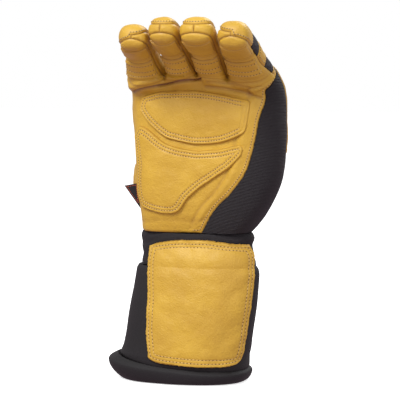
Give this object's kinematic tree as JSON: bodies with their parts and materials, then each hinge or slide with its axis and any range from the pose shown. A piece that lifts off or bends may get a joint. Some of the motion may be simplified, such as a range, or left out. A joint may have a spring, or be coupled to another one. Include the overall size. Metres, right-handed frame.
{
  "type": "long-cuff lineman work glove",
  "caption": "Long-cuff leather work glove for the left hand, fingers curled, with sewn palm pads, stretch side panel and a flared padded cuff.",
  "frame": {"origin": "centre of the cuff opening, level with the lowest edge of the hem", "axes": "+Z from the cuff opening up to the fingers, palm facing -Y, thumb on the -X side, little finger on the +X side"},
  "size_m": [0.1215, 0.1268, 0.239],
  "materials": {
    "leather": "smooth golden grain leather, satin",
    "stretch_fabric": "fine ribbed stretch knit, matt",
    "cuff_fabric": "smooth padded jersey-faced foam, soft sheen"
  },
  "bodies": {
    "root": {"back_fabric": "stretch_fabric", "back_segment_1": "leather", "back_segment_2": "leather", "back_segment_3": "leather", "back_segment_4": "leather", "cuff": "cuff_fabric", "cuff_patch": "leather", "finger_cap_1": "leather", "finger_cap_2": "leather", "finger_cap_3": "leather", "finger_cap_4": "leather", "finger_pad_1": "leather", "finger_pad_2": "leather", "finger_pad_3": "leather", "finger_pad_4": "leather", "fourchette_1": "leather", "fourchette_2": "leather", "fourchette_3": "leather", "heel_pad": "leather", "hem": "cuff_fabric", "knuckle_guard": "leather", "lower_band_1": "stretch_fabric", "lower_band_2": "stretch_fabric", "lower_band_3": "stretch_fabric", "lower_band_4": "stretch_fabric", "palm_leather": "leather", "side_gusset": "stretch_fabric", "size_tag": "stretch_fabric", "thumb_leather": "leather", "tip_pad_1": "leather", "tip_pad_2": "leather", "tip_pad_3": "leather", "tip_pad_4": "leather", "upper_band_1": "stretch_fabric", "upper_band_2": "stretch_fabric", "upper_band_3": "stretch_fabric", "upper_band_4": "stretch_fabric", "upper_palm_pad": "leather", "wrist_band": "cuff_fabric"}
  },
  "joints": []
}
